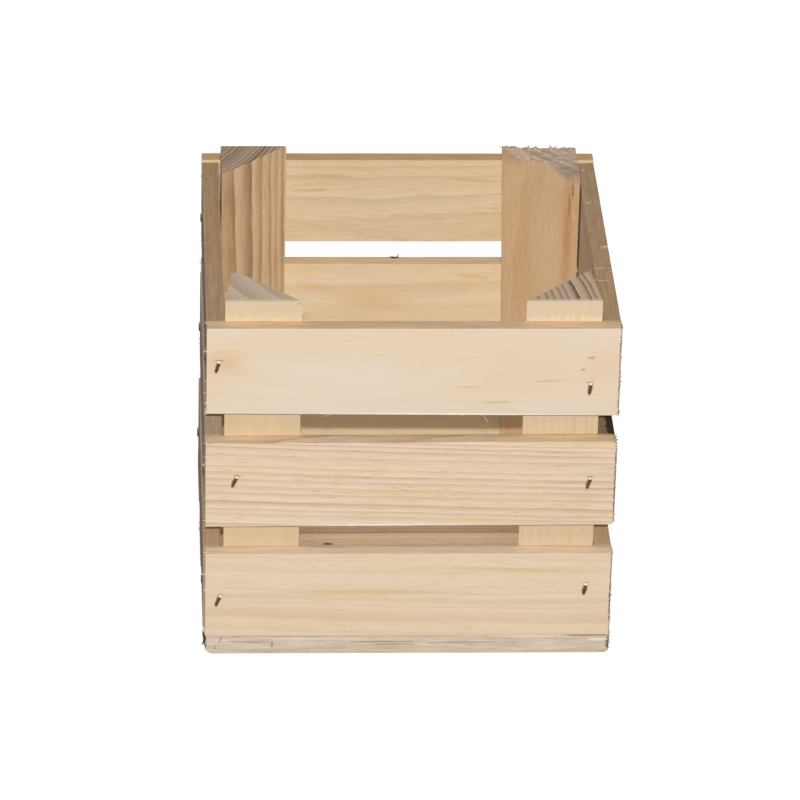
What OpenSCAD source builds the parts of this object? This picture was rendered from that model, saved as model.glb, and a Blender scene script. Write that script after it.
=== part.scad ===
// Small slatted wooden crate, open at the top.
// Four triangular corner posts carry three slats on each wall. The front and back slats run the
// full width, the side slats butt between them, and three boards cross underneath as the floor.
// Wire staples hold every joint. The origin is on the ground under the middle of the crate,
// with the front face towards -Y and +Z up.

/* [Crate] */
// Width over the front and back slats
crate_width = 200; // [150:1:400]
// Depth from the front face to the back face
crate_depth = 197; // [170:1:400]

/* [Wall slats] */
// Height of a wall slat
slat_height = 46; // [30:0.5:70]
// Thickness of a wall slat
slat_thickness = 8.5; // [6:0.1:12]
// Gap between the bottom slats and the middle slats
lower_gap = 15.3; // [6:0.1:40]
// Gap between the middle slats and the top slats
upper_gap = 16.3; // [6:0.1:40]
// How much higher the back middle slat sits than the other middle slats
back_middle_lift = 4.5; // [0:0.1:5]
// How much higher the back top slat sits than the other top slats
back_top_lift = 1.2; // [0:0.1:5]
// Extra height of the front top slat at its right end
front_top_taper = 1.2; // [0:0.1:4]
// Rise of the front middle slat from its left end to its right end
front_middle_rise = 0.8; // [0:0.1:3]
// How far the left bottom slat stands out past the corner
left_bottom_offset = 1; // [0:0.1:2]
// How far the left middle slat stands out past the corner
left_middle_offset = 0.5; // [0:0.1:2]
// Rounding of the slat corners
corner_rounding = 0.8; // [0.2:0.1:2]
// Rounding of the corners that are worn down the most
worn_rounding = 2.6; // [1:0.1:5]
// Width of the missing outer edge along the right middle slat
wane_width = 3; // [0.5:0.1:4]

/* [Floor boards] */
// Thickness of a floor board
board_thickness = 10.2; // [6:0.1:16]
// Width of a floor board
board_width = 40; // [25:0.5:48]
// How far behind the centre the middle board lies
middle_board_shift = 9.5; // [0:0.5:12]
// How far the middle and back boards stick out at the left
board_overhang = 1; // [0:0.1:4]
// Size of the corner broken off the front board
broken_corner = 4.2; // [1:0.1:8]

/* [Corner posts] */
// Face of the front left post along the front wall
front_left_leg = 36.9; // [24:0.1:50]
// Face of the front right post along the front wall
front_right_leg = 36.9; // [24:0.1:50]
// Face of the back left post along the back wall
back_left_leg = 33.6; // [24:0.1:50]
// Face of the back right post along the back wall
back_right_leg = 38.5; // [24:0.1:50]
// Face of every post along its side wall
side_leg = 34.6; // [24:0.1:50]
// Height of the front posts above the slats
front_post_rise = 10.6; // [0:0.1:60]
// Height of the back posts above the slats
back_post_rise = 9.2; // [3:0.1:60]
// Angle by which the front posts lean away from the side slats
post_lean = 6; // [0:0.5:12]
// Gap between the front posts and the side slats
front_post_gap = 0.5; // [0.2:0.1:2]
// Gap between the back posts and the side slats
back_post_gap = 1; // [0.2:0.1:2]
// How much of the back right post's thin edge is missing at its top
thin_edge_loss_top = 0.9; // [0.2:0.1:4]
// How much of that edge is missing at the post's foot
thin_edge_loss_foot = 5.3; // [0.2:0.1:8]
// Length of the break along the top of the back right post
break_length = 15; // [4:0.5:20]
// Depth of that break below the top of the post
break_depth = 6; // [1:0.5:10]

/* [Staples] */
// Length of a staple's crown
crown_length = 6.4; // [4:0.1:12]
// Thickness of the staple wire
wire = 1.2; // [0.8:0.05:1.6]
// Length of a staple over its legs
staple_length = 18; // [14:0.5:24]
// How far a crown stands out of the wall
crown_proud = 0.8; // [0.1:0.05:1]
// How far a crown is sunk into the underside of the floor
crown_sunk = 0.4; // [0.1:0.05:2]
// Distance from the end of a back slat to its staples
back_inset = 15; // [8:0.5:24]
// Distance between the side staples and the tips of the staples from the next wall
staple_spacing = 2.5; // [1.5:0.1:8]
// Tilt of the staples where nothing shows another tilt
staple_tilt = 12; // [0:1:30]
// Clearance between a staple and its hole
staple_clearance = 0.05; // [0.02:0.01:0.15]

/* [Front staples, bottom slat first] */
// Distances from the left ends of the front slats to their staples
front_left_insets = [6.4, 14, 5.3]; // [4:0.1:20]
// Distances from the right ends of the front slats to their staples
front_right_insets = [13, 13.2, 14.5]; // [4:0.1:20]
// Heights of the left staples above the middle of their slats
front_left_rises = [-3, 2, 2.5]; // [-10:0.1:10]
// Heights of the right staples above the middle of their slats
front_right_rises = [3, 1, -9.5]; // [-10:0.1:10]
// Tilts of the left staples
front_left_tilts = [22, 23, 15]; // [0:1:30]
// Tilts of the right staples
front_right_tilts = [9, 15, 5]; // [0:1:30]

/* [Hidden] */

half_width = crate_width / 2;
half_depth = crate_depth / 2;
side_slat_length = crate_depth - 2 * slat_thickness;

// Underside of the bottom, middle and top slats, in that order
slat_base = [
    board_thickness,
    board_thickness + slat_height + lower_gap,
    board_thickness + 2 * slat_height + lower_gap + upper_gap
];
slats_top = slat_base[2] + slat_height;
back_lift = [0, back_middle_lift, back_top_lift];
left_offset = [left_bottom_offset, left_middle_offset, 0];
back_posts_top = slats_top + back_post_rise;
back_right_tip = half_width - slat_thickness - back_post_gap - back_right_leg;

// Corner roundings in the order bottom left, bottom right, top right, top left
even_corners = [corner_rounding, corner_rounding, corner_rounding, corner_rounding];
worn_right_end = [corner_rounding, worn_rounding, worn_rounding, corner_rounding];
steps_per_corner = 4;

// How far a cutting block reaches past the wood that it cuts
cut_margin = 1;

// Each staple is [slat, side, inset from the slat's end, rise from the slat's middle, tilt]
front_rows = [
    for (slat = [0:2]) each [
        [slat, -1, front_left_insets[slat], front_left_rises[slat], front_left_tilts[slat]],
        [slat, 1, front_right_insets[slat], front_right_rises[slat], front_right_tilts[slat]]
    ]
];
back_rows = [for (slat = [0:2], side = [-1, 1]) [slat, side, back_inset, 0, staple_tilt]];
side_inset = staple_length - crown_proud + staple_spacing + wire - slat_thickness;
side_rows = [for (slat = [0:2], side = [-1, 1]) [slat, side, side_inset, -2, staple_tilt]];

// Floor staples are [x, y, turn of the crown]
side_rail_x = half_width - slat_thickness / 2;
outer_board_y = half_depth - board_width / 2;
wall_rail_y = half_depth - slat_thickness / 2;
middle_pair = board_width / 4;
floor_rows = [
    for (x = [-side_rail_x, side_rail_x]) each [
        [x, -outer_board_y, 90],
        [x, middle_board_shift - middle_pair, 90],
        [x, middle_board_shift + middle_pair, 90],
        [x, outer_board_y, 90]
    ],
    for (x = [-half_width / 2, half_width / 2], y = [-wall_rail_y, wall_rail_y]) [x, y, 0]
];

wood = [0.87, 0.77, 0.62];
post_wood = [0.78, 0.64, 0.47];
floor_wood = [0.78, 0.71, 0.6];
steel = [0.5, 0.42, 0.33];

// Points of one rounded corner: centre, radius and starting angle
function corner_points(centre, radius, start) = [
    for (i = [0:steps_per_corner])
        centre + radius * [cos(start + 90 * i / steps_per_corner), sin(start + 90 * i / steps_per_corner)]
];

// Outline of a board seen from its face; drop lowers the bottom right corner
function board_outline(length, height, r, drop = 0) = concat(
    corner_points([r[0], r[0]], r[0], 180),
    corner_points([length - r[1], r[1] - drop], r[1], 270),
    corner_points([length - r[2], height - r[2]], r[2], 0),
    corner_points([r[3], height - r[3]], r[3], 90)
);

// Board with its face towards -Y, its left end at x = 0 and its underside at z = 0
module board(length, height, thickness, corners = even_corners, drop = 0) {
    translate([0, thickness, 0])
        rotate([90, 0, 0])
            linear_extrude(thickness)
                polygon(board_outline(length, height, corners, drop));
}

// Staple with its crown along X on the plane y = 0 and its legs along +Y; grow swells it for a hole
module staple(grow = 0) {
    reach = crown_length / 2 + grow;
    inside = crown_length / 2 - wire - grow;
    point = wire / 2;
    translate([0, 0, -wire / 2 - grow])
        linear_extrude(wire + 2 * grow)
            polygon([
                [-reach, -grow], [reach, -grow],
                [reach, staple_length - point + grow], [reach - wire / 2 - grow, staple_length + grow],
                [inside, staple_length - point + grow], [inside, wire + grow],
                [-inside, wire + grow], [-inside, staple_length - point + grow],
                [-reach + wire / 2 + grow, staple_length + grow], [-reach, staple_length - point + grow]
            ]);
}

// Staples of a wall that faces -Y, length long, for the rows of one slat or of one side
module wall_staples(rows, length, lift, grow, slats = [0:2], sides = [-1, 1]) {
    for (row = rows, slat = slats, side = sides)
        if (row[0] == slat && row[1] == side)
            translate([
                side * (length / 2 - row[2]),
                -crown_proud,
                slat_base[slat] + lift[slat] + slat_height / 2 + row[3]
            ])
                rotate([0, 90 + row[4], 0])
                    staple(grow);
}

// The staples of the four walls and the floor, each in its place
module front_set(grow = 0, slats = [0:2], sides = [-1, 1]) {
    translate([0, -half_depth, 0])
        wall_staples(front_rows, crate_width, [0, 0, 0], grow, slats, sides);
}

module back_set(grow = 0, slats = [0:2], sides = [-1, 1]) {
    rotate([0, 0, 180])
        translate([0, -half_depth, 0])
            wall_staples(back_rows, crate_width, back_lift, grow, slats, sides);
}

module left_set(grow = 0, slats = [0:2], sides = [-1, 1]) {
    for (slat = slats)
        rotate([0, 0, -90])
            translate([0, -half_width - left_offset[slat], 0])
                wall_staples(side_rows, side_slat_length, [0, 0, 0], grow, [slat], sides);
}

module right_set(grow = 0, slats = [0:2], sides = [-1, 1]) {
    rotate([0, 0, 90])
        translate([0, -half_width, 0])
            wall_staples(side_rows, side_slat_length, [0, 0, 0], grow, slats, sides);
}

module floor_set(grow = 0) {
    for (row = floor_rows)
        translate([row[0], row[1], crown_sunk])
            rotate([90, 0, row[2]])
                staple(grow);
}

// Pockets that let the sunken crowns in from below
module floor_pockets() {
    for (row = floor_rows)
        translate([row[0], row[1], 0])
            rotate([0, 0, row[2]])
                cube([crown_length + 2 * staple_clearance, wire + 2 * staple_clearance, 2 * crown_sunk], center = true);
}

// Front and back slats, drawn as seen from outside
module wall_slat(slat, lift = 0, corners = even_corners, drop = 0) {
    translate([-half_width, -half_depth, slat_base[slat] + lift])
        board(crate_width, slat_height, slat_thickness, corners, drop);
}

module front_slat(slat, corners = even_corners, drop = 0, rise = 0) {
    color(wood)
        difference() {
            translate([-half_width, 0, slat_base[slat]])
                rotate([0, -atan(rise / crate_width), 0])
                    translate([half_width, 0, -slat_base[slat]])
                        wall_slat(slat, 0, corners, drop);
            front_set(staple_clearance, [slat]);
            if (slat == 0) floor_set(staple_clearance);
        }
}

module back_slat(slat) {
    color(wood)
        difference() {
            rotate([0, 0, 180]) wall_slat(slat, back_lift[slat]);
            back_set(staple_clearance, [slat]);
            if (slat == 0) floor_set(staple_clearance);
        }
}

module side_board(slat) {
    translate([-side_slat_length / 2, -half_width, slat_base[slat]])
        board(side_slat_length, slat_height, slat_thickness);
}

module left_slat(slat) {
    color(wood)
        difference() {
            rotate([0, 0, -90]) translate([0, -left_offset[slat], 0]) side_board(slat);
            left_set(staple_clearance, [slat]);
            front_set(staple_clearance, [slat], [-1]);
            if (slat == 0) floor_set(staple_clearance);
        }
}

// The sloping cut where the outer top edge of a slat was the edge of the log
module wane() {
    translate([half_width, 0, slat_base[1] + slat_height])
        rotate([0, 45, 0])
            cube([wane_width * sqrt(2), crate_depth, wane_width * sqrt(2)], center = true);
}

module right_slat(slat) {
    color(wood)
        difference() {
            rotate([0, 0, 90]) side_board(slat);
            right_set(staple_clearance, [slat]);
            if (slat == 0) floor_set(staple_clearance);
            if (slat == 1) wane();
        }
}

module floor_board(centre_y, shift, corners = even_corners) {
    color(floor_wood)
        difference() {
            translate([-half_width - shift, centre_y - board_width / 2, 0])
                board(crate_width, board_thickness, board_width, corners);
            floor_set(staple_clearance);
            floor_pockets();
        }
}

// Triangular post in the front left corner of the crate; lean turns its side face inwards
module corner_post(wall_leg, lean, rise, gap) {
    height = slats_top + rise - board_thickness;
    translate([-half_width + slat_thickness + gap, -half_depth + slat_thickness, board_thickness])
        linear_extrude(height)
            polygon([[0, 0], [wall_leg, 0], side_leg * [sin(lean), cos(lean)]]);
}

module front_left_post() {
    color(post_wood)
        difference() {
            corner_post(front_left_leg, post_lean, front_post_rise, front_post_gap);
            front_set(staple_clearance, [0:2], [-1]);
            left_set(staple_clearance, [0:2], [1]);
        }
}

module front_right_post() {
    color(post_wood)
        difference() {
            mirror([1, 0, 0]) corner_post(front_right_leg, post_lean, front_post_rise, front_post_gap);
            front_set(staple_clearance, [0:2], [1]);
            right_set(staple_clearance, [0:2], [-1]);
        }
}

module back_left_post() {
    color(post_wood)
        difference() {
            mirror([0, 1, 0]) corner_post(back_left_leg, 0, back_post_rise, back_post_gap);
            back_set(staple_clearance, [0:2], [1]);
            left_set(staple_clearance, [0:2], [-1]);
        }
}

// Wedge of wood torn out along the thin edge of the back right post, at its top
module torn_wedge() {
    slope = atan(break_depth / (side_leg / 2));
    translate([back_right_tip - cut_margin, half_depth - slat_thickness, back_posts_top])
        rotate([slope, 0, 0])
            translate([0, -side_leg, 0])
                cube([break_length + cut_margin, side_leg, side_leg]);
}

// Slice lost along that thin edge, wider at the foot than at the top
module slanted_slice() {
    slant = atan((thin_edge_loss_foot - thin_edge_loss_top) / (back_posts_top - board_thickness));
    translate([back_right_tip + thin_edge_loss_top, half_depth - slat_thickness, back_posts_top])
        rotate([0, -slant, 0])
            translate([-side_leg, -side_leg, -2 * back_posts_top])
                cube([side_leg, side_leg + cut_margin, 3 * back_posts_top]);
}

module back_right_post() {
    color(post_wood)
        difference() {
            rotate([0, 0, 180]) corner_post(back_right_leg, 0, back_post_rise, back_post_gap);
            torn_wedge();
            slanted_slice();
            back_set(staple_clearance, [0:2], [-1]);
            right_set(staple_clearance, [0:2], [1]);
        }
}

front_left_post();  // corner_post_front_left
front_right_post();  // corner_post_front_right
back_left_post();  // corner_post_back_left
back_right_post();  // corner_post_back_right
front_slat(0);  // front_slat_bottom
front_slat(1, worn_right_end, 0, front_middle_rise);  // front_slat_middle
front_slat(2, even_corners, front_top_taper);  // front_slat_top
back_slat(0);  // back_slat_bottom
back_slat(1);  // back_slat_middle
back_slat(2);  // back_slat_top
left_slat(0);  // left_slat_bottom
left_slat(1);  // left_slat_middle
left_slat(2);  // left_slat_top
right_slat(0);  // right_slat_bottom
right_slat(1);  // right_slat_middle
right_slat(2);  // right_slat_top
floor_board(-outer_board_y, 0, [broken_corner, worn_rounding, corner_rounding, corner_rounding]);  // floor_board_front
floor_board(middle_board_shift, board_overhang);  // floor_board_middle
floor_board(outer_board_y, board_overhang);  // floor_board_back
color(steel) front_set();  // front_staples
color(steel) back_set();  // back_staples
color(steel) left_set();  // left_staples
color(steel) right_set();  // right_staples
color(steel) floor_set();  // floor_staples
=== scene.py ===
import math
import random

import bmesh
import bpy
from mathutils import Matrix, Vector, noise


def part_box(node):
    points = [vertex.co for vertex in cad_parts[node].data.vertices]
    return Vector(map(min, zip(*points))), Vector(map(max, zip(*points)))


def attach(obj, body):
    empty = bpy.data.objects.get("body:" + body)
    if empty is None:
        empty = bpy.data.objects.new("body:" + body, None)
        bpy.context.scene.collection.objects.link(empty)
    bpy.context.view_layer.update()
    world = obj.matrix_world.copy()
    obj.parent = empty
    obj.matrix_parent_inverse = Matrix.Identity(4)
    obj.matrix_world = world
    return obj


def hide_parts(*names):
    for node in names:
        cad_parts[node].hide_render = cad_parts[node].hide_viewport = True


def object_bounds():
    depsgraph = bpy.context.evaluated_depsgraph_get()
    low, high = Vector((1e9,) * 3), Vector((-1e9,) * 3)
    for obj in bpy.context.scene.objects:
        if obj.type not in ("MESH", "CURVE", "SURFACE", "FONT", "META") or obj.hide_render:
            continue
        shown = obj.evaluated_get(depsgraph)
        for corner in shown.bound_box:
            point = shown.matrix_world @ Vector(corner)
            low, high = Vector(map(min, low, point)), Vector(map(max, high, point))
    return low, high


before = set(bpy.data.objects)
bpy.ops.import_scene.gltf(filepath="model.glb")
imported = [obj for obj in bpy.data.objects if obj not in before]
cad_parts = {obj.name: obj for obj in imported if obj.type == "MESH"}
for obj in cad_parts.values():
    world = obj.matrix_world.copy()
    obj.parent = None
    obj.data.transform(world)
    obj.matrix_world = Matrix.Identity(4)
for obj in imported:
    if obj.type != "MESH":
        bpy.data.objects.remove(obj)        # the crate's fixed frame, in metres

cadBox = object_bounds()
mm = 0.001


# Small helpers for objects and selections

def deselectAll():
    bpy.ops.object.select_all(action='DESELECT')


def makeActive(piece):
    deselectAll()
    piece.select_set(True)
    bpy.context.view_layer.objects.active = piece


def applyPlace(piece):
    makeActive(piece)
    bpy.ops.object.transform_apply(location=True, rotation=True, scale=True)


def applyModifier(piece, kind, **settings):
    makeActive(piece)
    modifier = piece.modifiers.new(kind.lower(), kind)
    for key, value in settings.items():
        setattr(modifier, key, value)
    bpy.ops.object.modifier_apply(modifier=modifier.name)


def editMode(on):
    bpy.ops.object.mode_set(mode='EDIT' if on else 'OBJECT')


def pick(piece, part, wanted):  # in edit mode, select the verts, edges or faces that pass a rule
    bpy.ops.mesh.select_mode(type={'verts': 'VERT', 'edges': 'EDGE', 'faces': 'FACE'}[part])
    bpy.ops.mesh.select_all(action='DESELECT')
    shape = bmesh.from_edit_mesh(piece.data)
    for item in getattr(shape, part):
        if wanted(item):
            item.select_set(True)
    bmesh.update_edit_mesh(piece.data)


def edgeAlong(edge, axis):
    line = (edge.verts[1].co - edge.verts[0].co).normalized()
    return abs(line[axis]) > 0.9


def middleOf(edge):
    return (edge.verts[0].co + edge.verts[1].co) / 2


def addBlock(name, low, high):
    deselectAll()
    bpy.ops.mesh.primitive_cube_add(size=1, location=(low + high) / 2, scale=high - low)
    piece = bpy.context.object
    piece.name = piece.data.name = name
    applyPlace(piece)
    return piece


def joinTo(piece, extras):
    if not extras:
        return
    deselectAll()
    for extra in extras:
        extra.select_set(True)
    piece.select_set(True)
    bpy.context.view_layer.objects.active = piece
    bpy.ops.object.join()


def cutAway(piece, cut):  # take a turned block out of a piece; it is rough where the wood broke
    cutter = addBlock("cutter", Vector(cut["low"]) * mm, Vector(cut["high"]) * mm)
    if cut.get("rough"):
        editMode(True)
        bpy.ops.mesh.select_all(action='SELECT')
        bpy.ops.mesh.subdivide(number_cuts=cut.get("steps", 24))
        bpy.ops.transform.vertex_random(offset=cut["rough"] * mm, seed=3)
        editMode(False)
    if cut.get("turn"):
        axis, degrees = cut["turn"]
        pivot = Matrix.Translation(Vector(cut["pivot"]) * mm)
        cutter.data.transform(pivot @ Matrix.Rotation(math.radians(degrees), 4, axis) @ pivot.inverted())
    applyModifier(piece, 'BOOLEAN', object=cutter, operation='DIFFERENCE', solver='EXACT',
                  use_self=bool(cut.get("rough")))
    bpy.data.objects.remove(cutter)


# Node helpers for the materials

def tone(red, green, blue):  # a colour as seen on screen, 0 to 255
    values = [c / 255 for c in (red, green, blue)]
    return [c / 12.92 if c <= 0.04045 else ((c + 0.055) / 1.055) ** 2.4 for c in values] + [1]


def addNode(tree, kind, inputs=None, **settings):
    node = tree.nodes.new(kind)
    for key, value in settings.items():
        setattr(node, key, value)
    for key, value in (inputs or {}).items():
        if isinstance(value, bpy.types.NodeSocket):
            tree.links.new(value, node.inputs[key])
        else:
            node.inputs[key].default_value = value
    return node


def calc(tree, operation, *values):
    return addNode(tree, 'ShaderNodeMath', dict(enumerate(values)), operation=operation).outputs[0]


def vectorCalc(tree, operation, *values):
    return addNode(tree, 'ShaderNodeVectorMath', dict(enumerate(values)), operation=operation)


def softNoise(tree, vector, scale, detail=2.0, rough=0.5, offset=0.0):
    moved = vectorCalc(tree, 'MULTIPLY_ADD', vector, scale, (offset, offset, offset)).outputs[0]
    return addNode(tree, 'ShaderNodeTexNoise', {'Vector': moved, 'Scale': 1.0, 'Detail': detail,
                                                'Roughness': rough})


def lineNoise(tree, value, offset):
    moved = calc(tree, 'ADD', value, offset)
    return addNode(tree, 'ShaderNodeTexNoise', {'W': moved, 'Scale': 1.0, 'Detail': 1.0},
                   noise_dimensions='1D').outputs[0]


def remap(tree, value, low, high, outLow=0.0, outHigh=1.0, smooth=False):
    inputs = {'Value': value, 'From Min': low, 'From Max': high, 'To Min': outLow, 'To Max': outHigh}
    kind = 'SMOOTHSTEP' if smooth else 'LINEAR'
    return addNode(tree, 'ShaderNodeMapRange', inputs, interpolation_type=kind).outputs[0]


def mixColour(tree, factor, first, second, blend='MIX'):
    node = addNode(tree, 'ShaderNodeMix', {0: factor, 6: first, 7: second}, data_type='RGBA',
                   blend_type=blend)
    return node.outputs[2]


# One mark on a piece: a knot, stain, bruise or bit of bark, or a patch of painted shade or painted highlight,
# as an oval with a ragged edge.
# Place and size (from its middle) in mm, turn in degrees about X, Y and Z

def mark(place, size, tint, strength, turn=(0, 0, 0), soft=0.65):
    return {"place": place, "size": size, "tint": tint, "strength": strength, "turn": turn, "soft": soft}


# What all the wood has in common; each piece below changes what differs on it
pine = {
    "grain": "X",            # the axis that the fibres run along
    "pith": (140, -60),      # where the heart of the tree lay, in mm across the board from its middle
    "slope": (0.0, 0.0),     # how the fibres slant, in degrees, in the face and out of it
    "ring": 3.4,             # width of a year's growth, mm
    "bow": 1.2,              # how much the rings waver, mm
    "bowLength": 0.007,      # how often they waver
    "contrast": 0.6,         # strength of the dark late wood
    "sharp": 3.0,            # how narrow the late wood is
    "early": (231, 210, 184),
    "late": (205, 168, 128),
    "warm": (228, 200, 160),     # the yellower wood
    "patch": 0.35,           # how much of it comes in broad patches
    "banding": 0.4,          # and how much from year to year
    "fibre": 1.0,            # strength of the fine fibre lines
    "fleck": 0.3,            # strength of the short dark dashes
    "narrowAxis": 2,         # the axis that the sawn narrow faces look along
    "edgeTint": (228, 214, 192),     # their colour, over the wood's own; on some side slats it is raised as painted light
    "endLight": (188, 170, 148),
    "endDark": (140, 120, 98),
    "endContrast": 0.6,
    "ticks": 0.0,            # pale saw marks across the narrow faces
    "wear": 0.9,             # the largest bevel on the edges, mm
    "frays": 34,             # fibres standing off the long edges
    "frayLength": (1.2, 4.2),    # the shortest and longest, mm
    "frayWidth": (0.25, 0.55),
    "stubs": 26,             # fibres standing off the ends
    "stubLength": (1.0, 2.2),
    "stubWidth": (0.5, 1.4),
    "seed": 1.0,
    "marks": [],
    "splinters": [],         # each from a place, with its reach and width, all in mm
    "cuts": [],
}
grainPlace = {
    "X": Matrix.Identity(3),
    "Y": Matrix.Rotation(math.radians(90), 3, 'Z'),
    "Z": Matrix.Rotation(math.radians(-90), 3, 'Y'),
}
axisIndex = {"X": 0, "Y": 1, "Z": 2}


def woodMaterial(name, wood, middle, marks):
    material = bpy.data.materials.new(name)
    material.use_nodes = True
    tree = material.node_tree
    tree.nodes.clear()
    seed = wood["seed"] * 7.31

    # coordinates in mm, with the fibres along X and the middle of the piece at zero
    place = addNode(tree, 'ShaderNodeTexCoord')
    slant = Matrix.Rotation(math.radians(wood["slope"][0]), 3, 'Y') @ Matrix.Rotation(
        math.radians(wood["slope"][1]), 3, 'Z')
    turn = (grainPlace[wood["grain"]] @ slant).to_euler()
    board = addNode(tree, 'ShaderNodeMapping', {'Vector': place.outputs['Object'], 'Location': middle,
                                               'Rotation': turn, 'Scale': (mm, mm, mm)},
                    vector_type='TEXTURE').outputs[0]

    # the rings waver slowly along the board, and a little more finely
    slowNoise = softNoise(tree, board, (wood["bowLength"], 0.02, 0.02), 1.5, 0.45, seed).outputs['Color']
    fineNoise = softNoise(tree, board, (0.035, 0.22, 0.22), 2.0, 0.5, seed + 3).outputs['Color']
    bow = wood["bow"] * 4
    warped = board
    for wander, size in ((slowNoise, bow), (fineNoise, min(bow, 1.2))):
        shift = vectorCalc(tree, 'SUBTRACT', wander, (0.5, 0.5, 0.5)).outputs[0]
        warped = vectorCalc(tree, 'MULTIPLY_ADD', shift, (0, size, size), warped).outputs[0]

    # distance from the heart, counted in years
    pith = wood["pith"]
    fromPith = vectorCalc(tree, 'MULTIPLY_ADD', warped, (0, 1, 1), (0, -pith[0], -pith[1])).outputs[0]
    radius = vectorCalc(tree, 'LENGTH', fromPith).outputs['Value']
    years = calc(tree, 'DIVIDE', radius, wood["ring"])
    uneven = lineNoise(tree, calc(tree, 'MULTIPLY', years, 0.37), seed)
    years = calc(tree, 'MULTIPLY_ADD', uneven, 1.6, years)
    inYear = calc(tree, 'FRACT', years)
    year = calc(tree, 'ADD', calc(tree, 'FLOOR', years), seed)
    yearStrength = addNode(tree, 'ShaderNodeTexWhiteNoise', {'W': year}, noise_dimensions='1D').outputs[0]
    rise = calc(tree, 'POWER', inYear, wood["sharp"])
    fall = remap(tree, inYear, 0.88, 1.0, 1.0, 0.0, True)
    lateWood = calc(tree, 'MULTIPLY', rise, fall)
    lateWood = calc(tree, 'MULTIPLY', lateWood, remap(tree, yearStrength, 0, 1, 0.5, 1.25))

    # fibres, short dashes, and yellower wood in broad patches and from year to year
    fibre = softNoise(tree, board, (0.06, 1.5, 1.5), 3.0, 0.6, seed + 5).outputs[0]
    dash = softNoise(tree, board, (0.11, 1.7, 1.7), 2.0, 0.5, seed + 9).outputs[0]
    dashes = calc(tree, 'MULTIPLY', remap(tree, dash, 0.6, 0.72), wood["fleck"])
    patch = softNoise(tree, board, (0.012, 0.045, 0.045), 2.0, 0.5, seed + 11).outputs[0]
    band = lineNoise(tree, calc(tree, 'MULTIPLY', years, 0.9), seed + 50)
    cloud = softNoise(tree, board, (0.015, 0.07, 0.07), 2.0, 0.5, seed + 17).outputs[0]
    fade = remap(tree, cloud, 0.3, 0.7, 0.5, 1.05)
    lateAmount = calc(tree, 'MULTIPLY', calc(tree, 'MULTIPLY', lateWood, wood["contrast"]), fade)
    lateAmount = calc(tree, 'MULTIPLY', lateAmount, remap(tree, fibre, 0.3, 0.7, 0.75, 1.15))
    warmth = calc(tree, 'ADD', calc(tree, 'MULTIPLY', remap(tree, patch, 0.4, 0.66), wood["patch"]),
                  calc(tree, 'MULTIPLY', remap(tree, band, 0.4, 0.62), wood["banding"]))

    colour = mixColour(tree, warmth, tone(*wood["early"]), tone(*wood["warm"]))
    colour = mixColour(tree, lateAmount, colour, tone(*wood["late"]))
    colour = mixColour(tree, dashes, colour, tone(*wood["late"]))
    fibreShade = remap(tree, fibre, 0.25, 0.75, 1 - 0.08 * wood["fibre"], 1 + 0.07 * wood["fibre"])
    colour = mixColour(tree, 1.0, colour, fibreShade, 'MULTIPLY')

    # masks for the end grain and the narrow sawn faces, by the direction that a face looks
    normal = addNode(tree, 'ShaderNodeSeparateXYZ', {0: place.outputs['Normal']})
    endOn = calc(tree, 'ABSOLUTE', normal.outputs[axisIndex[wood["grain"]]])
    endMask = remap(tree, endOn, 0.55, 0.75)
    speckle = softNoise(tree, board, (1.1, 1.6, 1.6), 3.0, 0.65, seed + 23).outputs[0]
    crossSaw = softNoise(tree, board, (0.75, 0.02, 0.02), 2.0, 0.6, seed + 29).outputs[0]
    if wood["grain"] != "Z":
        edgeMask = remap(tree, calc(tree, 'ABSOLUTE', normal.outputs[wood["narrowAxis"]]), 0.55, 0.75)
        rough = softNoise(tree, board, (0.05, 0.5, 0.5), 3.0, 0.6, seed + 27).outputs[0]
        edgeColour = mixColour(tree, 1.0, colour, tone(*wood["edgeTint"]), 'MULTIPLY')
        edgeColour = mixColour(tree, 1.0, edgeColour, remap(tree, rough, 0.3, 0.7, 0.84, 1.08), 'MULTIPLY')
        if wood["ticks"] > 0:
            broken = softNoise(tree, board, (0.2, 0.25, 0.25), 2.0, 0.5, seed + 37).outputs[0]
            tick = calc(tree, 'MULTIPLY', remap(tree, crossSaw, 0.6, 0.68), remap(tree, broken, 0.46, 0.56))
            tick = calc(tree, 'MULTIPLY', tick, wood["ticks"])
            edgeColour = mixColour(tree, tick, edgeColour, tone(240, 222, 196))
        colour = mixColour(tree, edgeMask, colour, edgeColour)
    endGrain = mixColour(tree, calc(tree, 'MULTIPLY', lateWood, wood["endContrast"]), tone(*wood["endLight"]),
                         tone(*wood["endDark"]))
    endGrain = mixColour(tree, 1.0, endGrain, remap(tree, speckle, 0.3, 0.7, 0.86, 1.08), 'MULTIPLY')
    colour = mixColour(tree, endMask, colour, endGrain)

    ragged = softNoise(tree, board, (0.25, 0.6, 0.6), 3.0, 0.6, seed + 31).outputs[0]
    for spot in marks:
        away = addNode(tree, 'ShaderNodeMapping', {
            'Vector': place.outputs['Object'], 'Location': [v * mm for v in spot["place"]],
            'Rotation': [math.radians(v) for v in spot["turn"]], 'Scale': [v * mm for v in spot["size"]]},
            vector_type='TEXTURE').outputs[0]
        far = calc(tree, 'ADD', vectorCalc(tree, 'LENGTH', away).outputs['Value'],
                   remap(tree, ragged, 0.3, 0.7, -0.22, 0.22))
        amount = remap(tree, far, spot["soft"], 1.0, spot["strength"], 0.0, True)
        colour = mixColour(tree, amount, colour, tone(*spot["tint"]))

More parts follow.
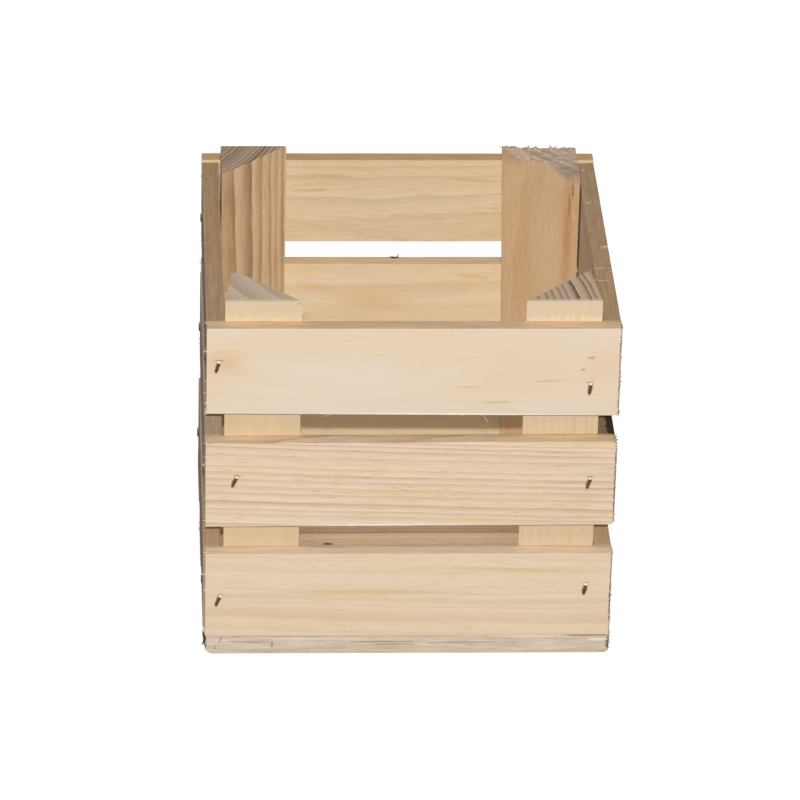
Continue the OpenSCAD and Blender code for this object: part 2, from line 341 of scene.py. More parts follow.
    # relief: late wood stands up a little, fibres and saw marks are finer
    relief = calc(tree, 'MULTIPLY_ADD', lateAmount, 0.35, calc(tree, 'MULTIPLY', fibre, 0.5))
    relief = calc(tree, 'MULTIPLY_ADD', crossSaw, 0.22, relief)
    relief = calc(tree, 'MULTIPLY_ADD', calc(tree, 'MULTIPLY', speckle, endMask), 1.4, relief)
    bump = addNode(tree, 'ShaderNodeBump', {'Height': relief, 'Strength': 0.55,
                                            'Distance': 0.00025}).outputs[0]
    surface = addNode(tree, 'ShaderNodeBsdfPrincipled', {
        'Base Color': colour, 'Roughness': remap(tree, fibre, 0.3, 0.7, 0.62, 0.8), 'Normal': bump,
        'Specular IOR Level': 0.25})
    addNode(tree, 'ShaderNodeOutputMaterial', {'Surface': surface.outputs[0]})
    return material


# Staples: their places are read from the frame, so each can be bent once and copied

def readStaples(node):  # for each staple: the middle of its crown, the crown's line and the legs' direction
    deselectAll()
    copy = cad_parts[node].copy()
    copy.data = copy.data.copy()
    copy.parent = None
    bpy.context.collection.objects.link(copy)
    makeActive(copy)
    editMode(True)
    bpy.ops.mesh.select_all(action='SELECT')
    bpy.ops.mesh.remove_doubles(threshold=0.00002)
    bpy.ops.mesh.separate(type='LOOSE')
    editMode(False)
    found = []
    for part in list(bpy.context.selected_objects):
        points = [vert.co.copy() for vert in part.data.vertices]
        middle = sum(points, Vector()) / len(points)
        spans = [max(p[i] for p in points) - min(p[i] for p in points) for i in range(3)]
        legs = spans.index(max(spans))
        inward = Vector((0, 0, 0))
        inward[legs] = 1 if legs == 2 or middle[legs] < 0 else -1
        outermost = min(p.dot(inward) for p in points)
        crown = [p for p in points if p.dot(inward) < outermost + 0.05 * mm]
        sides = [a - b for a in crown for b in crown if (a - b).length > 5 * mm]
        line = min(sides, key=lambda side: side.length).normalized()
        if line.z < -0.1:
            line = -line
        found.append((sum(crown, Vector()) / len(crown), line, inward))
        bpy.data.objects.remove(part)
    return found


staplePlaces = {node: readStaples(node) for node in
                ("front_staples", "back_staples", "left_staples", "right_staples", "floor_staples")}


def stapleTurn(line, inward):  # the crown's own axes: along it, into the wood, and across
    return Matrix((line, inward, line.cross(inward))).transposed()


def staplesIn(low, high):
    for places in staplePlaces.values():
        for centre, line, inward in places:
            inside = centre + inward * 3 * mm
            if all(low[i] < inside[i] < high[i] for i in range(3)):
                yield centre, line, inward


bruiseAndShade = {
    "crownStands": 0.8,      # how far the crown's middle stands off the wood, mm
    "size": (4.0, 1.5, 1.5),     # half its length, depth and width
    "tint": (112, 74, 38),
    "strength": 0.9,
    "tear": 2.7,             # half the length of the torn fibre over the crown's upper end
    "tearWidth": 0.5,
    "tearAt": 3.5,           # how far it lies from the crown's middle
    "tearTint": (140, 104, 72),
    "tearStrength": 0.6,
}


def bruisesAndShade(low, high):  # crushed wood beside each crown, darkened partly as its own colour and partly with painted shade, and the torn fibre
    made = []
    for centre, line, inward in staplesIn(low, high):
        turn = [math.degrees(angle) for angle in stapleTurn(line, inward).to_euler()]
        surface = centre + inward * bruiseAndShade["crownStands"] * mm
        # the dark oval is crushed wood together with painted shade around the crown
        made.append(mark([value / mm for value in surface], bruiseAndShade["size"], bruiseAndShade["tint"],
                         bruiseAndShade["strength"], turn, 0.5))
        if abs(line.z) > 0.5:
            fibre = surface + line * bruiseAndShade["tearAt"] * mm
            size = [bruiseAndShade["tearWidth"]] * 3
            size[1 if abs(inward.x) > 0.5 else 0] = bruiseAndShade["tear"]
            made.append(mark([value / mm for value in fibre], size, bruiseAndShade["tearTint"],
                             bruiseAndShade["tearStrength"], soft=0.3))
    return made


# Splinters: one sliver is modelled, and each splinter is a copy of it, pulled to its place

def modelSliver():
    deselectAll()
    bpy.ops.mesh.primitive_cone_add(vertices=6, radius1=0.5, radius2=0.03, depth=1, location=(0, 0, 0.5))
    sliver = bpy.context.object
    sliver.name = "sliver"
    applyPlace(sliver)
    editMode(True)
    pick(sliver, 'edges', lambda edge: edgeAlong(edge, 2))
    bpy.ops.mesh.subdivide(number_cuts=4)
    bpy.ops.mesh.select_all(action='SELECT')
    bpy.ops.transform.resize(value=(0.55, 1.0, 1.0))
    pick(sliver, 'verts', lambda vert: 0.15 < vert.co.z < 0.95)
    bpy.ops.transform.vertex_random(offset=0.08, seed=4)
    for height, bend in ((0.3, 0.02), (0.5, 0.05), (0.7, 0.1), (0.9, 0.16)):
        pick(sliver, 'verts', lambda vert: vert.co.z > height)
        bpy.ops.transform.translate(value=(bend, 0, 0))
    editMode(False)
    return sliver


sliver = modelSliver()


def splinter(start, reach, width, spin=0.0):  # all in mm; it is kept inside the frame's box
    line = Vector(reach) * mm
    copy = sliver.copy()
    copy.data = sliver.data.copy()
    bpy.context.collection.objects.link(copy)
    turn = line.to_track_quat('Z', 'X').to_matrix().to_4x4() @ Matrix.Rotation(spin, 4, 'Z')
    scale = Matrix.Diagonal((width * mm, width * mm, line.length, 1))
    copy.matrix_world = Matrix.Translation(Vector(start) * mm) @ turn @ scale
    bpy.context.view_layer.update()
    applyPlace(copy)
    for axis in range(3):
        spread = [vert.co[axis] for vert in copy.data.vertices]
        back = min(0.0, cadBox[1][axis] - max(spread)) + max(0.0, cadBox[0][axis] - min(spread))
        for vert in copy.data.vertices:
            vert.co[axis] += back
    return copy


def rootIn(piece, place, depth=0.3):  # the nearest spot just under the surface, in mm
    found, spot, normal, face = piece.closest_point_on_mesh(place * mm)
    return spot / mm - normal * depth


def frayEdges(piece, wood, lines, low, high):  # short fibres that stand off the sawn edges and ends
    chance = random.Random(wood["seed"])
    along = axisIndex[wood["grain"]]
    fibres = []
    for count in range(wood["frays"]):
        start, end, outward = chance.choice(lines)
        place = rootIn(piece, start.lerp(end, chance.uniform(0.03, 0.97)) / mm)
        reach = outward * chance.uniform(-0.1, 0.5)
        reach[along] += chance.choice((-1, 1)) * chance.uniform(*wood["frayLength"])
        fibres.append(splinter(place, reach, chance.uniform(*wood["frayWidth"]), chance.uniform(0, 6)))
    across = [axis for axis in range(3) if axis != along]
    for count in range(wood["stubs"]):
        side = chance.choice((-1, 1, 1, 1))  # more on the right ends, which are the ragged ones
        border = chance.choice(across)
        place = Vector([chance.uniform(low[i], high[i]) for i in range(3)]) / mm
        place[along] = (high if side > 0 else low)[along] / mm - side * 0.6
        place[border] = chance.choice((low[border] / mm + 0.3, high[border] / mm - 0.3))
        place = rootIn(piece, place)
        reach = Vector([chance.uniform(-0.5, 0.5) for i in range(3)])
        reach[along] = side * chance.uniform(*wood["stubLength"])
        fibres.append(splinter(place, reach, chance.uniform(*wood["stubWidth"]), chance.uniform(0, 6)))
    fibres += [splinter(*shard) for shard in wood["splinters"]]
    joinTo(piece, fibres)


def wearEdges(piece, amount, seed):  # sawn corners: the bevel's width wanders along each edge
    mesh = piece.data
    layer = "bevel_weight_edge"
    weights = mesh.attributes.get(layer) or mesh.attributes.new(layer, 'FLOAT', 'EDGE')
    shape = bmesh.new()
    shape.from_mesh(mesh)
    sharp = {edge.index for edge in shape.edges if len(edge.link_faces) == 2 and edge.calc_face_angle() > 0.5}
    shape.free()
    for edge in mesh.edges:
        if edge.index not in sharp:
            weights.data[edge.index].value = 0
            continue
        middle = (mesh.vertices[edge.vertices[0]].co + mesh.vertices[edge.vertices[1]].co) / 2
        place = middle * 160 + Vector((seed * 3.7, seed * 1.3, 0))
        wander = 0.5 + 0.55 * noise.noise(place) + 0.4 * noise.noise(place * 3.1)
        chip = max(0.0, noise.noise(middle * 55 + Vector((0, seed * 5.1, 0))) - 0.38) * 4
        weights.data[edge.index].value = min(1.0, max(0.12, 0.45 * wander + chip))
    applyModifier(piece, 'BEVEL', width=amount * mm, segments=2, limit_method='WEIGHT',
                  use_clamp_overlap=True)


def dress(piece, wood):
    low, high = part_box(wood["node"])
    piece.data.materials.clear()
    piece.data.materials.append(woodMaterial(wood["name"] + "Wood", wood, (low + high) / 2,
                                             wood["marks"] + bruisesAndShade(low, high)))
    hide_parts(wood["node"])
    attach(piece, "root")


# Slats and floor boards

boardSteps = {"along": 1.6, "ends": 12}      # length of each step in mm, and cuts across the ends
crownPocket = {"along": 3.6, "across": 0.9, "deep": 0.5}     # half its size under the floor, mm


def sawBoard(board):
    low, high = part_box(board["node"])
    along = axisIndex[board["grain"]]
    piece = addBlock(board["name"], low, high)
    middle = (low + high) / 2
    longest = high[along] - low[along]
    editMode(True)
    for end, level, lift in board.get("shifts", []):  # ends set a little out of true, in mm
        pick(piece, 'verts', lambda vert: (vert.co.x - middle.x) * end > 0
             and (vert.co.z - middle.z) * level > 0)
        bpy.ops.transform.translate(value=(0, 0, lift * mm))
    for end, level, radius in board.get("corners", []):  # corners worn round
        pick(piece, 'edges', lambda edge: edgeAlong(edge, 1) and (middleOf(edge).x - middle.x) * end > 0
             and (middleOf(edge).z - middle.z) * level > 0)
        bpy.ops.mesh.bevel(offset=radius * mm, segments=5)
    pick(piece, 'edges', lambda edge: edgeAlong(edge, along) and edge.calc_length() > longest * 0.8)
    bpy.ops.mesh.subdivide(number_cuts=int(longest / (boardSteps["along"] * mm)))
    pick(piece, 'edges', lambda edge: not edgeAlong(edge, along) and edge.calc_length() > 8 * mm
         and abs(middleOf(edge)[along] - middle[along]) > longest * 0.49)
    bpy.ops.mesh.subdivide(number_cuts=boardSteps["ends"])
    editMode(False)
    for cut in board["cuts"]:
        cutAway(piece, cut)
    for centre, line, inward in staplesIn(low, high):  # pockets that let the sunken crowns in from below
        if inward.z > 0.5:
            half = Vector((crownPocket["across"], crownPocket["across"], crownPocket["deep"]))
            half[0 if abs(line.x) > 0.5 else 1] = crownPocket["along"]
            spot = Vector((centre.x, centre.y, 0)) / mm
            cutAway(piece, {"low": spot - half, "high": spot + half})
    wearEdges(piece, board["wear"], board["seed"])
    across = [axis for axis in range(3) if axis != along]
    lines = []
    for first in (0, 1):
        for second in (0, 1):
            start = Vector(low)
            outward = Vector((0, 0, 0))
            for axis, side in zip(across, (first, second)):
                start[axis] = high[axis] - 0.25 * mm if side else low[axis] + 0.25 * mm
                outward[axis] = 1 if side else -1
            end = start.copy()
            end[along] = high[along]
            lines.append((start, end, outward))
    frayEdges(piece, board, lines, low, high)
    dress(piece, board)


def paintedShadeEnd(height):  # the right end of a front slat, darkened with painted shade, at the slat's middle height
    return mark((100.3, -94, height), (1.5, 20, 40), (112, 76, 62), 0.85, soft=0.5)


frontBottom = {
    **pine, "node": "front_slat_bottom", "name": "frontSlatBottom", "seed": 1.0,
    "pith": (-38, 70), "ring": 5.0, "bow": 2.2, "contrast": 0.4, "sharp": 2.0, "fleck": 0.4,
    "slope": (0.6, 0.4), "fibre": 0.7,
    "early": (236, 214, 190), "late": (208, 170, 126), "warm": (231, 208, 168), "banding": 0.5,
    "edgeTint": (244, 240, 236), "stubs": 60,
    "marks": [paintedShadeEnd(33),
              mark((-19, -98.5, 34.7), (66, 2, 2.4), (216, 188, 136), 0.6, soft=0.2),
              mark((50, -98.5, 47.3), (50, 2, 1.8), (216, 188, 136), 0.6, (0, 1.7, 0), 0.2)],
}
frontMiddle = {
    **pine, "node": "front_slat_middle", "name": "frontSlatMiddle", "seed": 2.0,
    "pith": (30, -180), "ring": 3.9, "bow": 1.1, "contrast": 0.85, "sharp": 2.4, "slope": (1.6, 0.3),
    "early": (237, 214, 192), "late": (192, 146, 112), "warm": (231, 208, 166), "banding": 0.6, "fleck": 0.5,
    "edgeTint": (233, 227, 216), "stubs": 60,
    "shifts": [(-1, 1, -0.8), (1, -1, 0.8)], "corners": [(1, 1, 2.6), (1, -1, 2.6)],
    "marks": [paintedShadeEnd(95),
              mark((77.0, -98.5, 95.5), (11, 1, 0.6), (204, 146, 100), 0.65, (0, 0, 0), 0.1),
              # a painted highlight along the slat's bottom edge
              mark((-6, -98.5, 72.3), (50, 1.5, 0.9), (255, 248, 238), 0.8, (0, -0.2, 0), 0.2)],
}
frontTop = {
    **pine, "node": "front_slat_top", "name": "frontSlatTop", "seed": 3.0,
    "pith": (-60, -40), "ring": 9.0, "bow": 2.0, "contrast": 0.12, "sharp": 1.4, "fleck": 0.12,
    "slope": (0.8, 0), "patch": 0.7, "banding": 0.2, "stubs": 80, "fibre": 0.35,
    "early": (233, 215, 195), "late": (212, 180, 142), "warm": (232, 208, 174),
    "shifts": [(-1, -1, 1.2)], "corners": [(1, -1, 1.2)],
    "marks": [paintedShadeEnd(156),
              mark((86.0, -98.5, 164.1), (2.8, 1, 1.2), (140, 112, 82), 0.65, soft=0.1),
              mark((81.9, -98.5, 157.7), (2.3, 1, 1.1), (150, 116, 86), 0.65, soft=0.1),
              mark((-91, -98.5, 162), (17, 2, 12), (226, 188, 142), 0.7, soft=0.0),
              mark((92, -98.5, 160), (16, 2, 16), (232, 198, 162), 0.5, soft=0.0),
              mark((65, -98.5, 151.5), (9, 1, 0.7), (210, 178, 140), 0.5, (0, -4, 0)),
              mark((26.4, -98.5, 148.3), (7, 1, 0.7), (214, 178, 142), 0.5),
              mark((41, -98.5, 140.1), (8, 1, 0.7), (206, 174, 136), 0.5, (0, -2, 0)),
              # a painted highlight along the slat's bottom edge
              mark((18, -98.5, 133.4), (78, 1.5, 0.9), (255, 250, 242), 0.85, (0, 0.34, 0), 0.2)],
    "splinters": [((-37.0, -98.0, 134.2), (-8.4, -0.2, -3.0), 0.9),
                  ((33.6, -98.0, 133.6), (4.0, -0.2, -6.6), 0.8),
                  ((36.0, -97.5, 133.8), (-3.0, 0.3, -2.2), 0.7),
                  ((99.2, -97.6, 149.5), (1.5, -0.4, -1.6), 1.4),
                  ((99.0, -96.0, 153.0), (1.6, 0.3, 1.4), 1.2), ((98.8, -91.2, 178.6), (1.9, 0.2, 1.0), 2.2),
                  ((99.2, -93.5, 178.4), (1.5, -0.2, 1.2), 1.6)],
}
backBottom = {
    **pine, "node": "back_slat_bottom", "name": "backSlatBottom", "seed": 4.0,
    "pith": (90, -40), "early": (216, 206, 174),
}
backMiddle = {
    **pine, "node": "back_slat_middle", "name": "backSlatMiddle", "seed": 5.0,
    "pith": (30, -26), "ring": 9.0, "bow": 3.0, "contrast": 0.5, "sharp": 1.5, "slope": (-1.5, 0.5),
    "early": (238, 217, 186), "late": (216, 174, 122), "warm": (230, 200, 156), "edgeTint": (250, 242, 228),
    "marks": [mark((-12.7, 90, 101), (34, 2, 9), (226, 184, 130), 0.6, (0, 4, 0), 0.0),
              mark((-42, 90, 109.5), (18, 2, 3.4), (228, 188, 138), 0.6, (0, 8, 0), 0.0),
              mark((40, 90, 115), (16, 2, 2.6), (222, 184, 130), 0.65, (0, 6, 0), 0.0),
              mark((-0.2, 98, 122.8), (4.2, 1.5, 1.8), (54, 40, 26), 0.95)],
    "splinters": [((1.4, 97.7, 121.8), (-4.8, 0.1, 0.8), 1.6), ((0.8, 97.8, 121.4), (1.6, 0.1, 2.6), 1.9)],
}
backTop = {
    **pine, "node": "back_slat_top", "name": "backSlatTop", "seed": 6.0,
    "pith": (60, -14), "ring": 2.6, "bow": 1.3, "contrast": 0.5, "sharp": 2.0, "slope": (-0.7, 0),
    "early": (229, 208, 176), "late": (204, 160, 112), "warm": (222, 198, 154), "banding": 0.3, "fleck": 0.5,
    "marks": [mark((-36, 90, 172.3), (19, 2, 1.7), (210, 168, 118), 0.7, (0, 3, 0), 0.1),
              mark((-44.7, 90, 164), (13, 2, 1.1), (206, 160, 110), 0.7, (0, -2, 0), 0.1),
              mark((37.6, 90, 170), (17, 2, 1.7), (210, 170, 120), 0.6, (0, 4, 0), 0.1)],
}
side = {**pine, "grain": "Y", "edgeTint": (194, 179, 161), "stubs": 0, "ticks": 0.2}
leftSide = {  # its outer face is darkened with painted shade
    **side, "frays": 60,
    "marks": [mark((-101.5, 0, 95), (2.4, 400, 400), (192, 168, 148), 0.7, soft=0.7)],
}
leftBottom = {
    **leftSide, "node": "left_slat_bottom", "name": "leftSlatBottom", "seed": 7.0,
    # its narrow faces are lightened as painted light
    "edgeTint": (264, 252, 230),
}
leftMiddle = {
    **leftSide, "node": "left_slat_middle", "name": "leftSlatMiddle", "seed": 8.0,
    # its narrow faces are lightened as painted light
    "edgeTint": (255, 254, 250),
}
leftTop = {
    **leftSide, "node": "left_slat_top", "name": "leftSlatTop", "seed": 9.0,
    "ticks": 0.06, "fleck": 0.5, "patch": 0.8,
}
rightBottom = {
    # the bottom slat's narrow faces are lightened as painted light
    **side, "node": "right_slat_bottom", "name": "rightSlatBottom", "seed": 10.0, "edgeTint": (264, 252, 226),
}
rightMiddle = {
    **side, "node": "right_slat_middle", "name": "rightSlatMiddle", "seed": 11.0,
    "cuts": [{"low": (97.9, -110, 97), "high": (137, 110, 138), "turn": ("Y", -45), "pivot": (100, 0, 117.5),
              "rough": 0.55, "steps": 30}],
    # painted shade darkens the broken outer top edge
    "marks": [mark((99.9, 0, 117.4), (4.4, 400, 4.4), (84, 58, 36), 1.0, soft=0.8)],
}
rightTop = {**side, "node": "right_slat_top", "name": "rightSlatTop", "seed": 12.0, "ticks": 0.9}
floorWood = {
    **pine, "narrowAxis": 1, "early": (232, 208, 176), "late": (184, 148, 110), "warm": (222, 194, 154),
    "edgeTint": (247, 257, 275), "fleck": 0.8, "contrast": 0.8, "stubs": 30,
}
floorFront = {
    **floorWood, "node": "floor_board_front", "name": "floorBoardFront", "seed": 13.0,
    "corners": [(-1, -1, 4.2), (1, -1, 2.6)],
    "marks": [mark((-92.6, -98.5, 7.6), (0.6, 2, 3.2), (142, 118, 92), 0.7, (0, 30, 0)),
              mark((-94.8, -98.5, 4.0), (0.6, 2, 2.4), (142, 118, 92), 0.6, (0, 18, 0)),
              mark((-93.8, -98.5, 6.2), (0.5, 2, 3.4), (244, 234, 216), 0.6, (0, 26, 0)),
              mark((-101.2, -97, 7.5), (2.4, 5, 8), (40, 28, 20), 0.95),
              # painted shade darkens the board's right end
              mark((100.3, -97.5, 5.5), (2.2, 5, 5), (92, 68, 54), 0.85, soft=0.6),
              mark((-66.8, -98.5, 5.2), (0.7, 1, 2.4), (150, 128, 104), 0.6),
              mark((94.5, -98.5, 7.6), (6.5, 1.5, 1.0), (244, 234, 216), 0.7),
              mark((62, -98.5, 9.4), (24, 1.2, 0.6), (244, 234, 216), 0.6),
              mark((30, -98.5, 6.0), (26, 1.2, 0.5), (160, 138, 112), 0.6),
              mark((-78, -98.5, 6.6), (12, 1.2, 0.5), (160, 138, 112), 0.6),
              mark((-50, -98.5, 8.4), (30, 1.2, 0.5), (240, 228, 210), 0.6),
              mark((-12, -98.5, 6.6), (20, 1.2, 0.45), (150, 124, 98), 0.6),
              mark((-6, -98.5, 5.0), (14, 1.2, 0.4), (150, 124, 98), 0.6),
              mark((88, -98.5, 10.0), (13, 1.2, 0.6), (110, 88, 66), 0.75)],
    "splinters": [((-100.2, -97.6, 8.6), (-1.5, -0.3, 5.4), 2.6),
                  ((-100.4, -97.0, 8.2), (-1.2, -0.5, -4.0), 2.8),
                  ((-99.4, -95.0, 8.8), (-2.2, 0.6, 1.6), 2.2), ((-99.0, -97.8, 4.2), (-2.6, -0.3, 1.8), 2.0),
                  ((-100.0, -97.4, 9.8), (-1.7, -0.3, 1.4), 3.0),
                  ((-96.0, -98.0, 2.6), (-2.8, -0.4, -0.6), 1.1),
                  ((99.2, -97.8, 8.4), (1.8, -0.4, 1.0), 2.2), ((99.2, -97.6, 5.0), (1.8, -0.3, -0.8), 2.4),
                  ((97.8, -97.9, 1.8), (2.6, -0.3, 1.8), 1.2)],
}
floorMiddle = {
    **floorWood, "node": "floor_board_middle", "name": "floorBoardMiddle", "seed": 14.0, "stubs": 40,
    "marks": [mark((-36.1, -5.2, 10.2), (4.0, 1.8, 2), (96, 70, 50), 0.9, soft=0.3)],
}
floorBack = {**floorWood, "node": "floor_board_back", "name": "floorBoardBack", "seed": 15.0, "stubs": 24}

for board in (frontBottom, frontMiddle, frontTop, backBottom, backMiddle, backTop,
              leftBottom, leftMiddle, leftTop, rightBottom, rightMiddle, rightTop):
    sawBoard(board)
print("slats sawn")
for board in (floorFront, floorMiddle, floorBack):
    sawBoard(board)
print("floor boards sawn")


# Corner posts: a block sawn through from corner to corner

postSteps = {"along": 2.2, "ends": 16}


def sawPost(post):
    low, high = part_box(post["node"])
    middle = (low + high) / 2
    right, back = middle.x > 0, middle.y > 0
    wallY, tipY = (high.y, low.y) if back else (low.y, high.y)
    nearX, tipX = (high.x, low.x) if right else (low.x, high.x)
    if "tip" in post:  # the thin edge before it was damaged, mm
        tipX = post["tip"] * mm
        low.x = min(low.x, tipX)
    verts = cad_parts[post["node"]].data.vertices
    farX = min(verts, key=lambda vert: abs(vert.co.y - tipY)).co.x
    piece = addBlock(post["name"], low, high)
    corners = [Vector((nearX, wallY, 0)), Vector((tipX, wallY, 0)), Vector((farX, tipY, 0))]
    inside = sum(corners, Vector()) / 3
    editMode(True)
    sides = [(corners[1], corners[2])]
    if abs(farX - nearX) > 0.1 * mm:  # the front posts lean away from the side wall
        sides.append((corners[2], corners[0]))
    for start, end in sides:
        across = (end - start).cross(Vector((0, 0, 1))).normalized()
        if across.dot(inside - start) > 0:
            across = -across
        bpy.ops.mesh.select_all(action='SELECT')
        bpy.ops.mesh.bisect(plane_co=start, plane_no=across, use_fill=True, clear_outer=True)
    tall = high.z - low.z
    pick(piece, 'edges', lambda edge: edgeAlong(edge, 2) and edge.calc_length() > 0.8 * tall)
    bpy.ops.mesh.subdivide(number_cuts=int(tall / (postSteps["along"] * mm)))
    pick(piece, 'edges', lambda edge: not edgeAlong(edge, 2) and edge.calc_length() > 8 * mm)
    bpy.ops.mesh.subdivide(number_cuts=postSteps["ends"])
    editMode(False)
    for cut in post["cuts"]:
        cutAway(piece, cut)
    wearEdges(piece, post["wear"], post["seed"])
    lines = []
    for corner in corners:
        foot = corner.lerp(inside, 0.02)
        outward = (corner - inside).normalized()
        lines.append((foot + Vector((0, 0, low.z)), foot + Vector((0, 0, high.z)), outward))
    frayEdges(piece, post, lines, low, high)
    dress(piece, post)


postWood = {
    **pine, "grain": "Z", "stubs": 0, "frays": 14,
    "early": (226, 201, 166), "late": (196, 156, 112), "warm": (224, 194, 150),
    "endLight": (206, 184, 162), "endDark": (150, 124, 100),
}
postFrontLeft = {
    **postWood, "node": "corner_post_front_left", "name": "cornerPostFrontLeft", "seed": 21.0, "fleck": 0.1,
    "pith": (48, -87), "ring": 11.0, "contrast": 0.12, "sharp": 1.2, "endContrast": 0.8, "fibre": 0.4,
    "early": (234, 212, 176), "warm": (230, 206, 166),
    "marks": [mark((-72.5, -90, 188), (60, 3, 9), (214, 194, 164), 0.75, soft=0.6)],
    "cuts": [{"low": (-97, -59.4, 186.8), "high": (-77, -39.4, 206.8), "turn": ("Z", -18),
              "pivot": (-87, -59.4, 190), "rough": 0.45, "steps": 14}],
    "splinters": [((-89.8, -82.0, 188.2), (-1.3, 3.2, 1.4), 1.8),
                  ((-90.0, -86.0, 188.4), (-0.9, -1.6, 1.4), 1.3),
                  ((-57.0, -90.1, 189.6), (7.4, -0.3, 0.1), 0.9),
                  ((-58.0, -89.0, 189.7), (4.0, 0.2, 0.2), 0.8)],
}
postFrontRight = {
    **postWood, "node": "corner_post_front_right", "name": "cornerPostFrontRight", "seed": 22.0,
    "pith": (-32, 147), "ring": 4.1, "bow": 0.5, "contrast": 0.25, "sharp": 2.0, "fleck": 0.1, "fibre": 0.4,
    "early": (236, 213, 180), "warm": (231, 207, 168),
    "endLight": (200, 174, 148), "endDark": (90, 62, 42), "endContrast": 1.0,
    "marks": [mark((72.5, -90, 188), (60, 3, 9), (214, 194, 166), 0.75, soft=0.6)],
    "splinters": [((86.0, -57.0, 189.0), (2.0, 2.4, 0.9), 1.4), ((88.0, -66.0, 189.2), (1.8, 1.0, 0.8), 1.2)],
}
postBackLeft = {
    **postWood, "node": "corner_post_back_left", "name": "cornerPostBackLeft", "seed": 23.0,
    "pith": (45.4, 81.4), "ring": 2.2, "bow": 0.42, "contrast": 1.0, "sharp": 1.4, "fleck": 0.4,
    "early": (236, 205, 165), "late": (154, 108, 70), "warm": (228, 192, 148),
    "endLight": (190, 164, 142), "endDark": (112, 84, 62), "endContrast": 1.0,
    "marks": [mark((-73.1, 73.3, 163.1), (0.8, 0.8, 1.0), (244, 226, 196), 0.8),
              mark((-68.4, 78.2, 157.4), (0.8, 0.8, 1.0), (244, 226, 196), 0.8)],
}
postBackRight = {
    **postWood, "node": "corner_post_back_right", "name": "cornerPostBackRight", "seed": 24.0, "tip": 52.0,
    "pith": (60, -60), "ring": 5.0, "bow": 2.4, "bowLength": 0.014, "contrast": 0.5, "sharp": 1.2,
    "early": (224, 193, 155), "late": (190, 146, 102), "warm": (218, 182, 138), "patch": 0.7, "fleck": 0.5,
    "cuts": [{"low": (10, 55, -15), "high": (52.9, 95, 205), "turn": ("Y", -1.41), "pivot": (52.9, 90, 189),
              "rough": 0.3, "steps": 26},
             {"low": (33, 56, 189), "high": (67, 90, 223), "turn": ("X", 19.1), "pivot": (51, 90, 189),
              "rough": 0.5, "steps": 24},
             {"low": (60, 50, 188.1), "high": (100, 96, 220), "rough": 0.9, "steps": 16}],
    "marks": [mark((85.4, 60.2, 152), (4.4, 4.4, 62), (196, 142, 94), 0.7, soft=0.0),
              mark((87.4, 58.2, 180), (1.4, 1.4, 7), (140, 98, 62), 0.7, soft=0.2),
              mark((86.0, 59.6, 170), (1.0, 1.0, 9), (150, 104, 66), 0.6, soft=0.2),
              mark((58, 85, 186), (14, 12, 7), (182, 150, 122), 0.6, soft=0.0),
              mark((85, 61, 188.6), (12, 12, 6), (166, 146, 128), 0.85, soft=0.3),
              mark((72, 73, 191.2), (70, 70, 3), (168, 148, 132), 0.85, soft=0.5),
              mark((72, 91, 189), (60, 3, 3), (158, 138, 122), 0.85, soft=0.6)],
    "splinters": [((54.4, 89.2, 187.8), (-3.6, 0.2, 1.6), 1.5), ((55.8, 88.8, 187.2), (0.4, 0.1, 3.0), 3.6),
                  ((66.6, 88.8, 187.4), (0.6, 0.1, 2.8), 4.2), ((69.4, 88.8, 187.2), (1.8, 0.1, 2.6), 3.4),
                  ((78.0, 88.8, 187.4), (0.3, 0.1, 2.8), 4.0), ((80.2, 88.8, 187.2), (-0.6, 0.1, 2.8), 3.4),
                  ((84.6, 88.8, 187.0), (0.8, 0.1, 2.6), 3.0),
                  ((87.6, 58.2, 178.0), (0.6, -1.2, 6.0), 1.8),
                  ((87.8, 58.0, 168.0), (0.5, -1.0, -6.0), 1.6)],
}
for post in (postFrontLeft, postFrontRight, postBackLeft, postBackRight):
    sawPost(post)
print("posts sawn")


stapleShape = {
    "crown": 6.4 * mm, "wire": 1.2 * mm, "legs": 18 * mm,
    # the last colour is a painted highlight on the crown's upper bend
    "stainDark": (92, 58, 24), "stainLight": (122, 84, 44), "highlightTint": (252, 236, 218),
}


def wireMaterial():
    material = bpy.data.materials.new("stapleWire")
    material.use_nodes = True
    tree = material.node_tree
    tree.nodes.clear()
    place = addNode(tree, 'ShaderNodeTexCoord')
    shoulder = addNode(tree, 'ShaderNodeAttribute', attribute_name="shoulder").outputs['Fac']
    drawn = softNoise(tree, place.outputs['Object'], (900, 900, 900), 3.0, 0.6).outputs[0]
    stain = softNoise(tree, place.outputs['Object'], (260, 260, 260), 2.0, 0.5, 4).outputs[0]
    colour = mixColour(tree, remap(tree, stain, 0.35, 0.65), tone(*stapleShape["stainDark"]),
                       tone(*stapleShape["stainLight"]))
    # painted highlight on the crown's upper bend
    colour = mixColour(tree, shoulder, colour, tone(*stapleShape["highlightTint"]))
    bump = addNode(tree, 'ShaderNodeBump', {'Height': drawn, 'Strength': 0.4, 'Distance': 0.00005}).outputs[0]
    surface = addNode(tree, 'ShaderNodeBsdfPrincipled', {
        'Base Color': colour, 'Metallic': 0.25, 'Roughness': remap(tree, drawn, 0.3, 0.7, 0.4, 0.6),
        'Normal': bump})
    addNode(tree, 'ShaderNodeOutputMaterial', {'Surface': surface.outputs[0]})
    return material


